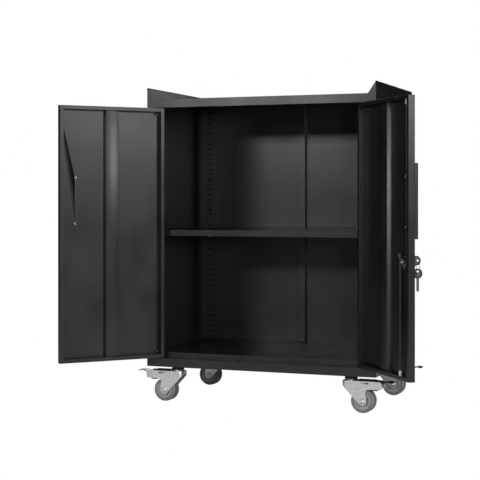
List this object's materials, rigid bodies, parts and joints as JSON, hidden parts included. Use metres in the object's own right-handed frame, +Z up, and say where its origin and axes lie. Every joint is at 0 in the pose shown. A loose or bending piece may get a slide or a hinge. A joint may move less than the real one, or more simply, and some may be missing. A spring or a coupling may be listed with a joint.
{
  "type": "rolling tool chest",
  "caption": "Black steel rolling tool chest with two hinged doors, slotted shelf uprights, an inner shelf, a key lock with locking rods and braked swivel castors",
  "frame": {"origin": "on the floor, under the middle of the cabinet's own width and depth (the doors stand open and are left out of that middle)", "axes": "+X to the right as seen by someone facing the doors, +Y from the front to the back, +Z up"},
  "size_m": [1.0238, 0.6598, 0.9125],
  "materials": {
    "black_powder_coat": "fine-textured black powder coat, satin",
    "zinc_plated_steel": "bright zinc plating",
    "black_handle_paint": "smooth black paint, semi-gloss",
    "chrome_plate": "bright chrome plating",
    "nickel_wire": "bright nickel-plated spring wire",
    "black_key_plastic": "moulded black plastic, satin",
    "white_nylon": "moulded natural nylon, satin",
    "black_rod_paint": "black coated steel rod, semi-gloss",
    "black_oxide_steel": "blackened steel, satin",
    "grey_wheel_plastic": "moulded grey plastic, matte",
    "grey_rubber_tyre": "dark grey rubber, matte with a slight sheen",
    "black_pedal_paint": "black coated steel, satin"
  },
  "bodies": {
    "cabinet": {"side_panel_left": "black_powder_coat", "side_panel_right": "black_powder_coat", "top_panel": "black_powder_coat", "floor_pan": "black_powder_coat", "back_panel_left": "black_powder_coat", "back_panel_right": "black_powder_coat", "back_stiffener": "black_powder_coat", "shelf_uprights": "black_powder_coat", "shelf": "black_powder_coat", "shelf_clips": "zinc_plated_steel", "castor_plates": "black_powder_coat", "castor_stems": "black_oxide_steel", "case_screws": "black_oxide_steel"},
    "left_door": {"door_skin_left": "black_powder_coat", "door_stiffener_left": "black_powder_coat", "hinge_pins_left": "black_oxide_steel", "handle_left": "black_handle_paint", "handle_screws_left": "zinc_plated_steel"},
    "right_door": {"door_skin_right": "black_powder_coat", "door_stiffener_right": "black_powder_coat", "hinge_pins_right": "black_oxide_steel", "handle_right": "black_handle_paint", "handle_screws_right": "zinc_plated_steel", "lock_housing": "chrome_plate", "lock_nut": "zinc_plated_steel", "rod_guides": "white_nylon"},
    "lock": {"lock_core": "chrome_plate", "lock_cam": "zinc_plated_steel", "cam_nut": "zinc_plated_steel", "key": "black_key_plastic"},
    "upper_rod": {"rod_upper": "black_rod_paint"},
    "lower_rod": {"rod_lower": "black_rod_paint"},
    "key_bunch": {"key_ring": "nickel_wire", "spare_key": "black_key_plastic"},
    "swivel_front_left": {"castor_fork_front_left": "zinc_plated_steel", "castor_pins_front_left": "zinc_plated_steel"},
    "wheel_front_left": {"castor_core_front_left": "grey_wheel_plastic", "castor_tyre_front_left": "grey_rubber_tyre"},
    "pedal_front_left": {"castor_pedal_front_left": "black_pedal_paint"},
    "swivel_front_right": {"castor_fork_front_right": "zinc_plated_steel", "castor_pins_front_right": "zinc_plated_steel"},
    "wheel_front_right": {"castor_core_front_right": "grey_wheel_plastic", "castor_tyre_front_right": "grey_rubber_tyre"},
    "pedal_front_right": {"castor_pedal_front_right": "black_pedal_paint"},
    "swivel_rear_left": {"castor_fork_rear_left": "zinc_plated_steel", "castor_pins_rear_left": "zinc_plated_steel"},
    "wheel_rear_left": {"castor_core_rear_left": "grey_wheel_plastic", "castor_tyre_rear_left": "grey_rubber_tyre"},
    "pedal_rear_left": {"castor_pedal_rear_left": "black_pedal_paint"},
    "swivel_rear_right": {"castor_fork_rear_right": "zinc_plated_steel", "castor_pins_rear_right": "zinc_plated_steel"},
    "wheel_rear_right": {"castor_core_rear_right": "grey_wheel_plastic", "castor_tyre_rear_right": "grey_rubber_tyre"},
    "pedal_rear_right": {"castor_pedal_rear_right": "black_pedal_paint"}
  },
  "joints": [
    {"name": "left_door_hinge", "type": "hinge", "parent": "cabinet", "child": "left_door", "pos_m": [-0.307, -0.2055, 0.49], "axis": [0, 0, -1], "range_deg": [-132, 6]},
    {"name": "right_door_hinge", "type": "hinge", "parent": "cabinet", "child": "right_door", "pos_m": [0.307, -0.2055, 0.49], "axis": [0, 0, 1], "range_deg": [-129.5, 8.5]},
    {"name": "lock_turn", "type": "hinge", "parent": "right_door", "child": "lock", "pos_m": [0.47458, -0.40172, 0.4325], "axis": [-0.7716, -0.6361, 0], "range_deg": [0, 90]},
    {"name": "upper_rod_slide", "type": "slide", "parent": "right_door", "child": "upper_rod", "axis": [0, 0, 1], "range_m": [0, 0.02828]},
    {"name": "lower_rod_slide", "type": "slide", "parent": "right_door", "child": "lower_rod", "axis": [0, 0, -1], "range_m": [0, 0.02828]},
    {"name": "key_bunch_swing", "type": "hinge", "parent": "lock", "child": "key_bunch", "pos_m": [0.4985, -0.382, 0.4325], "axis": [-0.6361, 0.7716, 0], "range_deg": [-45, 20]},
    {"name": "castor_swivel_front_left", "type": "hinge", "parent": "cabinet", "child": "swivel_front_left", "pos_m": [-0.262, -0.17, 0.09], "axis": [0, 0, 1], "continuous": true},
    {"name": "castor_wheel_front_left", "type": "hinge", "parent": "swivel_front_left", "child": "wheel_front_left", "pos_m": [-0.298, -0.17, 0.0335], "axis": [0, 1, 0], "continuous": true},
    {"name": "castor_brake_front_left", "type": "hinge", "parent": "swivel_front_left", "child": "pedal_front_left", "pos_m": [-0.292, -0.17, 0.08], "axis": [0, -1, 0], "range_deg": [0, 6]},
    {"name": "castor_swivel_front_right", "type": "hinge", "parent": "cabinet", "child": "swivel_front_right", "pos_m": [0.262, -0.17, 0.09], "axis": [0, 0, 1], "continuous": true},
    {"name": "castor_wheel_front_right", "type": "hinge", "parent": "swivel_front_right", "child": "wheel_front_right", "pos_m": [0.298, -0.17, 0.0335], "axis": [0, 1, 0], "continuous": true},
    {"name": "castor_brake_front_right", "type": "hinge", "parent": "swivel_front_right", "child": "pedal_front_right", "pos_m": [0.292, -0.17, 0.08], "axis": [0, 1, 0], "range_deg": [0, 6]},
    {"name": "castor_swivel_rear_left", "type": "hinge", "parent": "cabinet", "child": "swivel_rear_left", "pos_m": [-0.262, 0.17, 0.09], "axis": [0, 0, 1], "continuous": true},
    {"name": "castor_wheel_rear_left", "type": "hinge", "parent": "swivel_rear_left", "child": "wheel_rear_left", "pos_m": [-0.298, 0.17, 0.0335], "axis": [0, 1, 0], "continuous": true},
    {"name": "castor_brake_rear_left", "type": "hinge", "parent": "swivel_rear_left", "child": "pedal_rear_left", "pos_m": [-0.292, 0.17, 0.08], "axis": [0, -1, 0], "range_deg": [0, 6]},
    {"name": "castor_swivel_rear_right", "type": "hinge", "parent": "cabinet", "child": "swivel_rear_right", "pos_m": [0.262, 0.17, 0.09], "axis": [0, 0, 1], "continuous": true},
    {"name": "castor_wheel_rear_right", "type": "hinge", "parent": "swivel_rear_right", "child": "wheel_rear_right", "pos_m": [0.298, 0.17, 0.0335], "axis": [0, 1, 0], "continuous": true},
    {"name": "castor_brake_rear_right", "type": "hinge", "parent": "swivel_rear_right", "child": "pedal_rear_right", "pos_m": [0.292, 0.17, 0.08], "axis": [0, 1, 0], "range_deg": [0, 6]}
  ],
  "couplings": [
    {"joint": "lock_turn", "follows": "upper_rod_slide", "rad_per_m": 55.536},
    {"joint": "lower_rod_slide", "follows": "upper_rod_slide", "ratio": 1}
  ]
}
